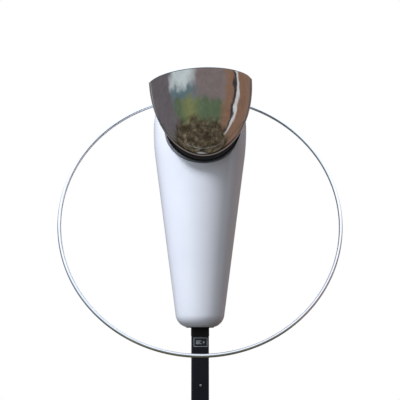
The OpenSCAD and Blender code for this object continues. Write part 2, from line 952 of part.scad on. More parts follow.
// Everything in front of the back plate
module before_back(t) {
    translate([-big / 2, plate_y - back_t - t, -big / 2])
        mirror([0, 1, 0])
            cube([big, big, big]);
}

module back_outline() {
    polygon(concat([[back_half_w, rim_h]],
        [for (i = [0 : back_steps])
            let (a = -180 * i / back_steps)
            [back_half_w * cos(a), rim_h + back_depth * sin(a)]]));
}

module back_sheet(y, t) {
    translate([0, y + t, 0])
        rotate([90, 0, 0])
            linear_extrude(t)
                back_outline();
}

module bowl_sheet() {
    difference() {
        union() {
            intersection() {
                bowl_body(0);
                before_back(0);
            }
            back_sheet(plate_y - back_t - lip_t, lip_t);
        }
        bowl_body(scoop_wall);
        translate([-chord + scoop_wall, bowl_y - scoop_r, rim_h - eps])
            cube([2 * (chord - scoop_wall), scoop_r, 10]);
    }
}

module scoop_bowl() color([0.62, 0.60, 0.57])
    at_scoop()
        bowl_sheet();

module scoop_back_plate() color([0.66, 0.65, 0.63])
    at_scoop()
        difference() {
            back_sheet(plate_y - back_t, back_t);
            at_swivel_bolts()
                rod_y(swivel_bolt_d / 2, plate_y - back_t - 1, plate_y + 1);
        }

module rim_trim() color([0.7, 0.69, 0.67])
    at_scoop()
        difference() {
            translate([0, bowl_y, rim_h])
                rotate([0, 0, -90 - rim_arc + 2])
                    rotate_extrude(angle = 2 * rim_arc - 4, $fn = 144)
                        translate([scoop_r - scoop_wall / 2, 0])
                            circle(trim_d / 2, $fn = 24);
            bowl_sheet();
        }

base_plate();
base_gussets();
mast_tube();
mast_sleeve();
rating_plate();
access_screw();
cable_gland();
mast_head();
cross_bolts();
spindle();
spindle_nut();
stator_core();
stator_coils();
bearing_inner_races();
bearing_outer_races();
bearing_balls();
hub_tube_lower();
hub_tube_upper();
hub_cap();
lower_bulkhead();
upper_bulkhead();
bell_lower();
bell_upper();
bell_bolts();
back_iron();
magnets();
counterweight();
counterweight_bolts();
pod_shell_front();
pod_shell_rear();
seam_gasket();
seam_screws();
base_seal();
collar();
collar_seal();
hoop();
hoop_joiner();
hoop_clamp_base();
hoop_clamp_cap();
clamp_bolts();
hoop_grommets();
pivot_housing();
pivot_bushes();
scoop_bowl();
scoop_back_plate();
rim_trim();
swivel_disc();
swivel_bolts();
pivot_shaft();
pivot_washer();
pivot_nut();
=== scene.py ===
"""Looks of a single-scoop vertical axis wind turbine on a square mast.

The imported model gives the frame: nodes, bodies and boxes, in metres, +Z up and the scoop facing -Y.
Curved skins are worked out here as smooth surfaces and stand for their plainer CAD nodes.
"""

from __future__ import annotations

import logging
import math
from dataclasses import dataclass, field
from enum import Enum
from typing import Optional, Sequence

import bmesh
import bpy
import numpy as np
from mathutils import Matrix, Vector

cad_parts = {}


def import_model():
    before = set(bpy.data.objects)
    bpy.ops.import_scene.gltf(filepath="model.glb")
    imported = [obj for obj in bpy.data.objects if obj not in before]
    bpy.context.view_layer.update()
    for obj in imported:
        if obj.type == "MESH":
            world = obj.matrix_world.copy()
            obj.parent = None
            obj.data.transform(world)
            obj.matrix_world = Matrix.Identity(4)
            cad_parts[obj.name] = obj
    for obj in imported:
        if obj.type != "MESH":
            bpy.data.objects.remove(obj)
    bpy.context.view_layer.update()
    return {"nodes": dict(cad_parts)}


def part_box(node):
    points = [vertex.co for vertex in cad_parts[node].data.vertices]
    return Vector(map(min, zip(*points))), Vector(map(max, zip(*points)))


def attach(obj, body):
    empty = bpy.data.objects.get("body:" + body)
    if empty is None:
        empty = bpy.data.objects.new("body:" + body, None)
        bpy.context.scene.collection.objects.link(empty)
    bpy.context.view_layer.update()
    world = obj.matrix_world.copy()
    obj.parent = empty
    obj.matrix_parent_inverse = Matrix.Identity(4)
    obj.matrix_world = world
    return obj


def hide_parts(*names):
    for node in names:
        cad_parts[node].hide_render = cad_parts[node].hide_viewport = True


LOG = logging.getLogger("turbine")
MM = 0.001
Array = np.ndarray


# ---------------------------------------------------------------- small helpers


def linear(code: str, alpha: float = 1.0) -> tuple[float, float, float, float]:
    """Turns an sRGB hex colour into linear light.

    Args:
        code: six hex digits, such as "dfe4ee".
        alpha: the fourth value.

    Returns:
        Red, green, blue and alpha in linear light.
    """
    channels = [int(code[i:i + 2], 16) / 255 for i in (0, 2, 4)]
    return (*[c / 12.92 if c <= 0.04045 else ((c + 0.055) / 1.055) ** 2.4 for c in channels], alpha)


def add_node(tree: bpy.types.NodeTree, kind: str, values: Optional[dict] = None,
             links: Optional[dict] = None, **settings: object) -> bpy.types.Node:
    """Adds one node with its settings, socket values and incoming links.

    Args:
        tree: the node tree.
        kind: the node's type name.
        values: socket name or index to value.
        links: socket name or index to the output socket that feeds it.
        **settings: attributes of the node itself.

    Returns:
        The new node.
    """
    node = tree.nodes.new(kind)
    for key, value in settings.items():
        setattr(node, key, value)
    for key, value in (values or {}).items():
        node.inputs[key].default_value = value
    for key, socket in (links or {}).items():
        tree.links.new(socket, node.inputs[key])
    return node


def set_ramp(node: bpy.types.Node, stops: Sequence[tuple[float, str]]) -> None:
    """Gives a colour ramp its stops.

    Args:
        node: the colour ramp node.
        stops: positions from 0 to 1 with sRGB hex colours.
    """
    elements = node.color_ramp.elements
    while len(elements) > 1:
        elements.remove(elements[-1])
    elements[0].position, elements[0].color = stops[0][0], linear(stops[0][1])
    for position, code in stops[1:]:
        elements.new(position).color = linear(code)


def smooth_steps(start: float, end: float, count: int) -> Array:
    """Spaces values evenly from start to end, both included.

    Args:
        start: the first value.
        end: the last value.
        count: how many values.

    Returns:
        The values.
    """
    return np.linspace(start, end, count)


# ---------------------------------------------------------------- finishes


class Grain(Enum):
    """Direction in which a worked surface carries its fine lines."""

    NONE = (1.0, 1.0, 1.0)
    AROUND_Z = (1.0, 1.0, 14.0)
    ALONG_X = (1.0, 14.0, 14.0)


@dataclass(frozen=True)
class Finish:
    """A surface finish drawn on Object coordinates.

    Attributes:
        name: the material's name.
        colour: main colour, sRGB hex.
        second: colour of the slow variation over the surface, sRGB hex.
        metallic: 1 for bare metal.
        roughness: lowest and highest roughness of the pattern.
        grain_mm: size of the fine relief, in millimetres.
        relief_mm: height of the fine relief, in millimetres.
        stretch: direction of the fine relief.
        coat: weight of a clear top layer.
        coat_roughness: roughness of the top layer.
        patch_mm: size of the slow colour patches.
        wave_mm: size of the slow waviness of the sheet, 0 for none.
        wave_height_mm: height of that waviness.
        ior: index of refraction, which a metal leaves at its default.
    """

    name: str
    colour: str
    second: str
    metallic: float = 0.0
    roughness: tuple[float, float] = (0.4, 0.5)
    grain_mm: float = 1.0
    relief_mm: float = 0.01
    stretch: Grain = Grain.NONE
    coat: float = 0.0
    coat_roughness: float = 0.05
    patch_mm: float = 90.0
    wave_mm: float = 0.0
    wave_height_mm: float = 0.0
    ior: float = 1.5

    def build(self) -> bpy.types.Material:
        """Makes the material.

        Returns:
            A node material with colour, roughness and bump patterns.
        """
        material = bpy.data.materials.new(self.name)
        material.use_nodes = True
        tree = material.node_tree
        shader = tree.nodes["Principled BSDF"]
        shader.inputs["Metallic"].default_value = self.metallic
        if self.metallic < 0.5:
            shader.inputs["IOR"].default_value = self.ior
        shader.inputs["Coat Weight"].default_value = self.coat
        shader.inputs["Coat Roughness"].default_value = self.coat_roughness
        place = add_node(tree, "ShaderNodeTexCoord").outputs["Object"]
        patches = add_node(tree, "ShaderNodeTexNoise", {"Scale": 1 / (self.patch_mm * MM), "Detail": 4.0},
                           {"Vector": place})
        spread = add_node(tree, "ShaderNodeMapRange", {1: 0.3, 2: 0.7}, {0: patches.outputs["Fac"]})
        colours = add_node(tree, "ShaderNodeMix", {6: linear(self.colour), 7: linear(self.second)},
                           {0: spread.outputs[0]}, data_type="RGBA")
        tree.links.new(colours.outputs[2], shader.inputs["Base Color"])
        stretched = add_node(tree, "ShaderNodeMapping", {"Scale": self.stretch.value}, {"Vector": place})
        fine = add_node(tree, "ShaderNodeTexNoise", {"Scale": 1 / (self.grain_mm * MM), "Detail": 3.0},
                        {"Vector": stretched.outputs[0]})
        smoothest, roughest = self.roughness
        rough = add_node(tree, "ShaderNodeMapRange", {1: 0.3, 2: 0.7, 3: smoothest, 4: roughest},
                         {0: fine.outputs["Fac"]})
        tree.links.new(rough.outputs[0], shader.inputs["Roughness"])
        bump = add_node(tree, "ShaderNodeBump", {"Strength": 1.0, "Distance": self.relief_mm * MM},
                        {"Height": fine.outputs["Fac"]})
        if self.wave_mm:
            wave = add_node(tree, "ShaderNodeTexNoise", {"Scale": 1 / (self.wave_mm * MM), "Detail": 1.0},
                            {"Vector": place})
            slow = add_node(tree, "ShaderNodeBump", {"Strength": 1.0, "Distance": self.wave_height_mm * MM},
                            {"Height": wave.outputs["Fac"]})
            tree.links.new(slow.outputs[0], bump.inputs["Normal"])
        tree.links.new(bump.outputs[0], shader.inputs["Normal"])
        return material


# Polyester gel-coat from a waxed mould: white with a cool cast, glossy, faintly wavy.
GELCOAT = Finish("white_gelcoat", "e3e7f0", "dce1ec", roughness=(0.30, 0.36), grain_mm=3.0, relief_mm=0.003,
                 coat=0.6, coat_roughness=0.12, patch_mm=220, wave_mm=160, wave_height_mm=0.15)
# Mirror-polished 304 sheet pressed into a bowl: slow waves from the press, hairline polishing marks.
MIRROR_STEEL = Finish("polished_stainless", "d6d2cd", "cdc9c3", metallic=1.0, roughness=(0.04, 0.09),
                      grain_mm=6.0, relief_mm=0.004, stretch=Grain.AROUND_Z, patch_mm=60, wave_mm=55,
                      wave_height_mm=0.35)
# Bright drawn stainless tube: lines run with the draw, so highlights stretch along it.
TUBE_STEEL = Finish("drawn_stainless_tube", "e6e9ee", "dadde3", metallic=1.0, roughness=(0.08, 0.16),
                    grain_mm=2.0, relief_mm=0.0008, patch_mm=50)
# Polyester powder coat, blue-black: satin with the fine orange peel of a cured powder.
POWDER_COAT = Finish("blue_black_powder_coat", "0a0f18", "080a11", roughness=(0.36, 0.46), grain_mm=1.6,
                     relief_mm=0.02, patch_mm=120, ior=1.4)
# Moulded black ASA: satin with a fine spark-eroded texture.
SATIN_ASA = Finish("moulded_black_asa", "090d15", "07090e", roughness=(0.26, 0.34), grain_mm=1.2,
                   relief_mm=0.008, patch_mm=80, ior=1.3)
# EPDM rubber: matt, slightly grey with bloom; on the mast sleeve its matt black also paints the pod's shade.
EPDM = Finish("epdm_rubber", "060607", "0b0b0d", roughness=(0.55, 0.75), grain_mm=1.0, relief_mm=0.02,
              patch_mm=40, ior=1.35)
# Screen-printed label stock: matt near-black film.
LABEL_FILM = Finish("label_film", "10131b", "0d1017", roughness=(0.42, 0.5), grain_mm=0.8, relief_mm=0.004)
# Silver-grey screen ink.
LABEL_INK = Finish("silver_label_ink", "9aa3a6", "7f898c", roughness=(0.4, 0.55), grain_mm=1.5,
                   relief_mm=0.01, patch_mm=12)
# Bright zinc on steel fasteners: bluish, cloudy.
ZINC = Finish("bright_zinc", "b9bcc2", "9fa3ab", metallic=1.0, roughness=(0.22, 0.4), grain_mm=1.5,
              relief_mm=0.01, patch_mm=8)
# Turned carbon steel: fine lathe rings across the axis.
TURNED_STEEL = Finish("turned_steel", "a9abaf", "96999e", metallic=1.0, roughness=(0.2, 0.34), grain_mm=1.5,
                      relief_mm=0.01, stretch=Grain.AROUND_Z, patch_mm=30)
# Milled 6082 aluminium: pale, with cutter marks.
MILLED_ALLOY = Finish("milled_aluminium", "c8cacd", "b8babf", metallic=1.0, roughness=(0.28, 0.42),
                      grain_mm=2.0, relief_mm=0.012, stretch=Grain.ALONG_X, patch_mm=40)
# Varnished electrical steel laminations: dark, with the sheet edges as lines.
LAMINATION = Finish("varnished_laminations", "5a5b60", "48494e", metallic=1.0, roughness=(0.45, 0.6),
                    grain_mm=1.4, relief_mm=0.03, stretch=Grain.AROUND_Z, patch_mm=30)
# Enamelled copper winding.
COPPER = Finish("enamelled_copper", "b06a3a", "96542a", metallic=1.0, roughness=(0.3, 0.42), grain_mm=1.2,
                relief_mm=0.06, stretch=Grain.AROUND_Z, patch_mm=12)
# Black hard-anodised aluminium.
BLACK_ANODISED = Finish("black_anodised_aluminium", "0b0c10", "08090c", roughness=(0.34, 0.44), grain_mm=1.0,
                        relief_mm=0.006, patch_mm=60, ior=1.4)
# Ground bearing steel.
BEARING_STEEL = Finish("ground_bearing_steel", "cfd1d4", "c2c4c8", metallic=1.0, roughness=(0.08, 0.14),
                       grain_mm=1.0, relief_mm=0.002, patch_mm=20)
# Nickel-plated magnets.
NICKEL = Finish("nickel_plate", "c4c1ba", "b4b1aa", metallic=1.0, roughness=(0.15, 0.25), grain_mm=1.5,
                relief_mm=0.005, patch_mm=15)
# Sand-cast iron ballast under grey primer.
CAST_BALLAST = Finish("primed_cast_iron", "55585d", "484b50", roughness=(0.6, 0.75), grain_mm=2.2,
                      relief_mm=0.12, patch_mm=40)
# Sintered bronze bush.
BRONZE = Finish("sintered_bronze", "b08a4e", "977440", metallic=1.0, roughness=(0.35, 0.5), grain_mm=0.9,
                relief_mm=0.02, patch_mm=18)
# Matt pale studio floor.
STUDIO_FLOOR = Finish("studio_floor", "f2f2f2", "eeeeef", roughness=(0.8, 0.9), grain_mm=4.0, relief_mm=0.02,
                      patch_mm=600)


class Palette:
    """Builds each finish once and hands it out."""

    def __init__(self) -> None:
        """Starts empty."""
        self._made: dict[str, bpy.types.Material] = {}

    def get(self, finish: Finish) -> bpy.types.Material:
        """Hands out the material of a finish, and makes it the first time.

        Args:
            finish: the finish.

        Returns:
            Its material.
        """
        if finish.name not in self._made:
            self._made[finish.name] = finish.build()
        return self._made[finish.name]


# ---------------------------------------------------------------- surfaces


class Surface:
    """Collects grids of points and turns them into one mesh object."""

    def __init__(self) -> None:
        """Starts with no points."""
        self._points: list[Array] = []
        self._quads: list[Array] = []
        self._count = 0

    def grid(self, points: Array, close_u: bool = False, close_v: bool = False,
             flip: bool = False) -> "Surface":
        """Adds a grid of points as quads.

        Args:
            points: an array of shape (nu, nv, 3).
            close_u: joins the last row to the first.
            close_v: joins the last column to the first.
            flip: turns the faces round.

        Returns:
            This surface, so that calls can follow each other.
        """
        rows, columns = points.shape[:2]
        u = np.arange(rows if close_u else rows - 1)
        v = np.arange(columns if close_v else columns - 1)
        uu, vv = np.meshgrid(u, v, indexing="ij")
        u_next, v_next = (uu + 1) % rows, (vv + 1) % columns
        here, onward = uu * columns, u_next * columns
        corners = [here + vv, onward + vv, onward + v_next, here + v_next]
        quads = np.stack(corners[::-1] if flip else corners, axis=-1).reshape(-1, 4)
        self._quads.append(quads + self._count)
        self._points.append(points.reshape(-1, 3))
        self._count += rows * columns
        return self

    def build(self, name: str, sharp_degrees: float = 35.0) -> bpy.types.Object:
        """Makes the mesh object, merges its doubles and turns its faces outwards.

        Args:
            name: the object's name.
            sharp_degrees: edges sharper than this keep a hard edge.

        Returns:
            The object, linked to the scene.
        """
        mesh = bpy.data.meshes.new(name)
        mesh.from_pydata(np.concatenate(self._points), [], np.concatenate(self._quads).tolist())
        shape = bmesh.new()
        shape.from_mesh(mesh)
        bmesh.ops.remove_doubles(shape, verts=shape.verts, dist=2e-6)
        bmesh.ops.dissolve_degenerate(shape, edges=shape.edges, dist=1e-7)
        bmesh.ops.recalc_face_normals(shape, faces=shape.faces)
        shape.to_mesh(mesh)
        shape.free()
        mesh.shade_smooth()
        mesh.set_sharp_from_angle(angle=math.radians(sharp_degrees))
        piece = bpy.data.objects.new(name, mesh)
        bpy.context.scene.collection.objects.link(piece)
        return piece


def cap(ring: Array, centre: Optional[Array] = None) -> Array:
    """A fan from a closed ring to its centre, as a two-row grid.

    Args:
        ring: points of shape (n, 3).
        centre: the middle point, or None for the mean.

    Returns:
        A grid of shape (n, 2, 3).
    """
    middle = ring.mean(axis=0) if centre is None else centre
    return np.stack([ring, np.broadcast_to(middle, ring.shape)], axis=1)


def revolve(profile: Array, angles: Array) -> Array:
    """Turns a profile of (radius, height) about the Z axis.

    Args:
        profile: points of shape (n, 2).
        angles: turn angles in radians.

    Returns:
        A grid of shape (len(angles), n, 3).
    """
    radius, height = profile[None, :, 0], profile[None, :, 1]
    turn = angles[:, None]
    return np.stack([radius * np.cos(turn), radius * np.sin(turn), height + 0 * turn], axis=-1)


def rounded_square(width: float, corner: float, per_corner: int = 9) -> Array:
    """Outline of a square with round corners, anticlockwise.

    Args:
        width: distance across flats.
        corner: corner radius.
        per_corner: points on each corner arc.

    Returns:
        Points of shape (4 * per_corner, 2).
    """
    quarter = math.pi / 2
    turn = np.concatenate([smooth_steps(k * quarter, (k + 1) * quarter, per_corner) for k in range(4)])
    middle = np.repeat([[1, 1], [-1, 1], [-1, -1], [1, -1]], per_corner, axis=0) * (width / 2 - corner)
    return middle + corner * np.stack([np.cos(turn), np.sin(turn)], axis=1)


def pitch_turn(points: Array, degrees: float, pivot: Array) -> Array:
    """Turns points about an axis along Y through the pivot.

    Args:
        points: points of shape (..., 3).
        degrees: turn, positive anticlockwise as seen from -Y.
        pivot: a point on the axis.

    Returns:
        The turned points.
    """
    a = math.radians(degrees)
    rel = points - pivot
    x = rel[..., 0] * math.cos(a) - rel[..., 2] * math.sin(a)
    z = rel[..., 0] * math.sin(a) + rel[..., 2] * math.cos(a)
    return np.stack([x, rel[..., 1], z], axis=-1) + pivot


def finish_piece(piece: bpy.types.Object, material: bpy.types.Material, body: str, slot: str,
                 *nodes: str) -> bpy.types.Object:
    """Dresses a new piece, ties it to its body and hides the CAD nodes that it stands for.

    Args:
        piece: the object.
        material: its material.
        body: the body that it rides on.
        slot: not used.
        *nodes: CAD nodes that it stands for.

    Returns:
        The piece.
    """
    piece.data.materials.append(material)
    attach(piece, body)
    if nodes:
        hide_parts(*nodes)
    LOG.info("%s: %d faces", piece.name, len(piece.data.polygons))
    return piece


# ---------------------------------------------------------------- pod


@dataclass
class Pod:
    """The turning white body: foot radius, lower edge, straight taper, shoulder and dome."""

    palette: Palette
    foot_r: float = 81.4 * MM
    edge_r: float = 50 * MM
    shoulder_l: float = 125 * MM
    dome_h: float = 195 * MM
    wall: float = 4 * MM
    half_gap: float = 0.5 * MM
    mouth_r: float = field(init=False)
    low_z: float = field(init=False)
    height: float = field(init=False)
    radius: float = field(init=False)

    def __post_init__(self) -> None:
        """Takes the place and the overall size from the frame."""
        seal_low, seal_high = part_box("base_seal")
        shell_low, shell_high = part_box("pod_shell_front")
        self.mouth_r = seal_high[0]
        self.low_z = seal_low[2] + 1 * MM
        self.height = shell_high[2] - self.low_z
        self.radius = shell_high[0]
        self.belly_h = self.height - self.dome_h
        self.shoulder_h = self.belly_h - self.shoulder_l
        self.taper = math.atan((self.radius - self.foot_r) / (self.shoulder_h + self.shoulder_l / 2))
        self.shoulder_r = self.shoulder_l / math.sin(self.taper)

    def radius_at(self, h: Array) -> Array:
        """Finds the radius at a height: a straight taper, then an arc, then a quarter ellipse.

        Args:
            h: heights above the underside.

        Returns:
            The radii.
        """
        line = self.foot_r + h * math.tan(self.taper)
        drop = np.clip(self.belly_h - h, 0, self.shoulder_l)
        arc = self.radius - self.shoulder_r + np.sqrt(self.shoulder_r ** 2 - drop ** 2)
        dome = self.radius * np.sqrt(np.clip(1 - (np.maximum(h - self.belly_h, 0) / self.dome_h) ** 2, 0, 1))
        return np.where(h < self.shoulder_h, line, np.where(h < self.belly_h, arc, dome))

    def outline(self, inset: float, start_r: float) -> Array:
        """Profile of the skin, from the mouth up to the top.

        Args:
            inset: distance inside the outer surface.
            start_r: radius of the mouth.

        Returns:
            Points of (radius, height), shape (n, 2).
        """
        tangent_h = self.edge_r * (1 - math.sin(self.taper))
        edge_x = self.foot_r + tangent_h * math.tan(self.taper) - self.edge_r * math.cos(self.taper)
        small = self.edge_r - inset
        first = -math.acos(min(1.0, (start_r - edge_x) / small))
        turn = smooth_steps(first, -self.taper, 18)
        edge = np.stack([edge_x + small * np.cos(turn), self.edge_r + small * np.sin(turn)], axis=1)
        h = smooth_steps(tangent_h, self.shoulder_h, 24)[1:]
        side = np.stack([self.foot_r + h * math.tan(self.taper) - inset / math.cos(self.taper), h], axis=1)
        turn = smooth_steps(-self.taper, 0, 16)[1:]
        arc_r = self.shoulder_r - inset
        shoulder = np.stack([self.radius - self.shoulder_r + arc_r * np.cos(turn),
                             self.belly_h + arc_r * np.sin(turn)], axis=1)
        turn = smooth_steps(0, math.pi / 2, 44)[1:]
        dome = np.stack([(self.radius - inset) * np.cos(turn),
                         self.belly_h + (self.dome_h - inset) * np.sin(turn)], axis=1)
        profile = np.concatenate([edge, side, shoulder, dome])
        return profile + np.array([0, self.low_z])

    def shell(self, name: str, node: str, side: int) -> None:
        """Builds one half of the pod as a closed skin with a rounded mouth edge.

        Args:
            name: the piece's name.
            node: the CAD node that it stands for.
            side: 1 for the rear half, -1 for the front half.
        """
        angles = smooth_steps(0, math.pi, 121) * side
        outer = self.outline(0, self.mouth_r)
        inner = self.outline(self.wall, self.mouth_r)[::-1]
        loop = np.concatenate([outer, inner])
        points = revolve(loop, angles)
        points[..., 1] = side * np.maximum(side * points[..., 1], self.half_gap)
        skin = Surface().grid(points, close_v=True)
        half = len(outer)
        for edge in (points[0], points[-1]):
            skin.grid(np.stack([edge[:half], edge[half:][::-1]], axis=0))
        piece = skin.build(name)
        finish_piece(piece, self.palette.get(GELCOAT), "rotor", "gelcoat", node)

    def build(self) -> None:
        """Builds both shells."""
        self.shell("pod_skin_front", "pod_shell_front", -1)
        self.shell("pod_skin_rear", "pod_shell_rear", 1)


# ---------------------------------------------------------------- collar


@dataclass
class Collar:
    """The black moulding that carries the pod's round side out to the flat back of the scoop."""

    palette: Palette
    pod: Pod
    wall: float = 4 * MM
    lip: float = 1.6 * MM
    seat: float = 0.2 * MM

    def build(self) -> None:
        """Builds the moulding: a tube along Y whose rear edge follows the pod, with a rounded front lip."""
        low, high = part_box("collar")
        outer_r = (high[0] - low[0]) / 2
        inner_r = outer_r - self.wall
        pivot_z = (low[2] + high[2]) / 2
        front_y = low[1]
        turn = smooth_steps(0, 2 * math.pi, 241)[:-1]

        def rear_y(r: float) -> Array:
            """Finds where a circle about the pivot axis meets the pod.

            Args:
                r: the circle's radius.

            Returns:
                The Y of each of its points.
            """
            x, z = r * np.cos(turn), pivot_z + r * np.sin(turn)
            pod_r = self.pod.radius_at(z - self.pod.low_z)
            return -np.sqrt(np.maximum(pod_r ** 2 - x ** 2, 0)) - self.seat

        rounding = smooth_steps(0, math.pi / 2, 6)
        columns = []
        for r, sign, steps in ((inner_r, -1, rounding[::-1]), (outer_r, 1, rounding)):
            rear = rear_y(r)
            arc = [(r - sign * self.lip * (1 - math.sin(a)), front_y + self.lip * (1 - math.cos(a)))
                   for a in steps]
            straight = [(r, rear + (front_y + self.lip - rear) * t) for t in (0.0, 0.25, 0.5, 0.75)]
            columns += straight + arc if sign < 0 else arc + straight[::-1]
        points = np.stack([np.stack([r * np.cos(turn), y + 0 * turn, pivot_z + r * np.sin(turn)], axis=-1)
                           for r, y in columns], axis=1)
        piece = Surface().grid(points, close_u=True, close_v=True).build("collar_moulding")
        finish_piece(piece, self.palette.get(SATIN_ASA), "rotor", "black_plastic", "collar")


# ---------------------------------------------------------------- hoop


@dataclass
class Hoop:
    """The bright steel hoop with its rubber boots at the dome."""

    palette: Palette
    pod: Pod
    radius: float = 500 * MM
    tube_r: float = 6.5 * MM
    tilt: float = 15.6
    turn: float = -3.0
    top_y: float = 60 * MM
    gap: float = 2 * MM
    boot_angle: float = 3.4
    boot_wall: float = 0.9 * MM
    boot_flare: float = 4.5 * MM
    boot_rib: float = 0.7 * MM
    boot_play: float = 0.1 * MM

    def __post_init__(self) -> None:
        """Finds the hoop's top from its box."""
        _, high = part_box("hoop")
        lean, turn = math.radians(self.tilt), math.radians(self.turn)
        back = np.array([-math.sin(turn), math.cos(turn), 0.0])
        upright = np.array([0.0, 0.0, 1.0])
        self.top = self.top_y * back + (high[2] - self.tube_r) * upright
        self.up = math.sin(lean) * back + math.cos(lean) * upright
        self.side = np.array([math.cos(turn), math.sin(turn), 0.0])
        self.face = np.cross(self.up, self.side)

    def tube(self, angles: Array, radii: Array, sides: int = 28) -> Array:
        """Carries a circle along the hoop's centre line.

        Args:
            angles: angles from the hoop's top, in radians.
            radii: the circle's radius at each angle.
            sides: points round the circle.

        Returns:
            A grid of shape (len(angles), sides, 3).
        """
        out = np.sin(angles)[:, None] * self.side + np.cos(angles)[:, None] * self.up
        middle = self.top - self.radius * self.up + self.radius * out
        turn = smooth_steps(0, 2 * math.pi, sides + 1)[:-1]
        ring = np.cos(turn)[None, :, None] * out[:, None, :] + np.sin(turn)[None, :, None] * self.face
        return middle[:, None, :] + np.asarray(radii)[:, None, None] * ring

    def leave_angle(self) -> float:
        """Finds where the tube leaves the dome.

        Returns:
            The angle from the hoop's top, in radians.
        """
        angles = smooth_steps(math.radians(4), math.radians(40), 4000)
        line = self.tube(angles, np.zeros(len(angles)), 1)[:, 0]
        outside = np.hypot(line[:, 0], line[:, 1]) > self.pod.radius_at(line[:, 2] - self.pod.low_z)
        return float(angles[np.argmax(outside)])

    def build(self) -> None:
        """Builds the tube and the two boots."""
        half_gap = self.gap / self.radius / 2
        angles = smooth_steps(half_gap, 2 * math.pi - half_gap, 481)
        points = self.tube(angles, np.full(len(angles), self.tube_r))
        skin = Surface().grid(points, close_v=True).grid(cap(points[0])).grid(cap(points[-1]))
        tube = skin.build("hoop_tube")
        finish_piece(tube, self.palette.get(TUBE_STEEL), "rotor", "polished_stainless", "hoop")
        boots = Surface()
        middle = self.leave_angle()
        steps = smooth_steps(-1, 1, 41)
        flare = self.boot_flare * np.clip(1 - np.maximum(steps, 0) ** 1.4, 0, 1) + self.boot_wall
        ribs = self.boot_rib * np.cos(steps * 6 * math.pi) * (np.abs(steps) < 0.95)
        radii = self.tube_r + flare + ribs
        for side in (-1, 1):
            angles = side * (middle + math.radians(self.boot_angle / 2) * steps)
            sleeve = self.tube(angles, radii)
            bore = self.tube(angles, np.full(len(angles), self.tube_r + self.boot_play))
            loop = np.concatenate([sleeve, bore[::-1]])
            boots.grid(loop, close_u=True, close_v=True)
        piece = boots.build("hoop_boots", 50)
        finish_piece(piece, self.palette.get(EPDM), "rotor", "black_rubber", "hoop_grommets")


# ---------------------------------------------------------------- scoop


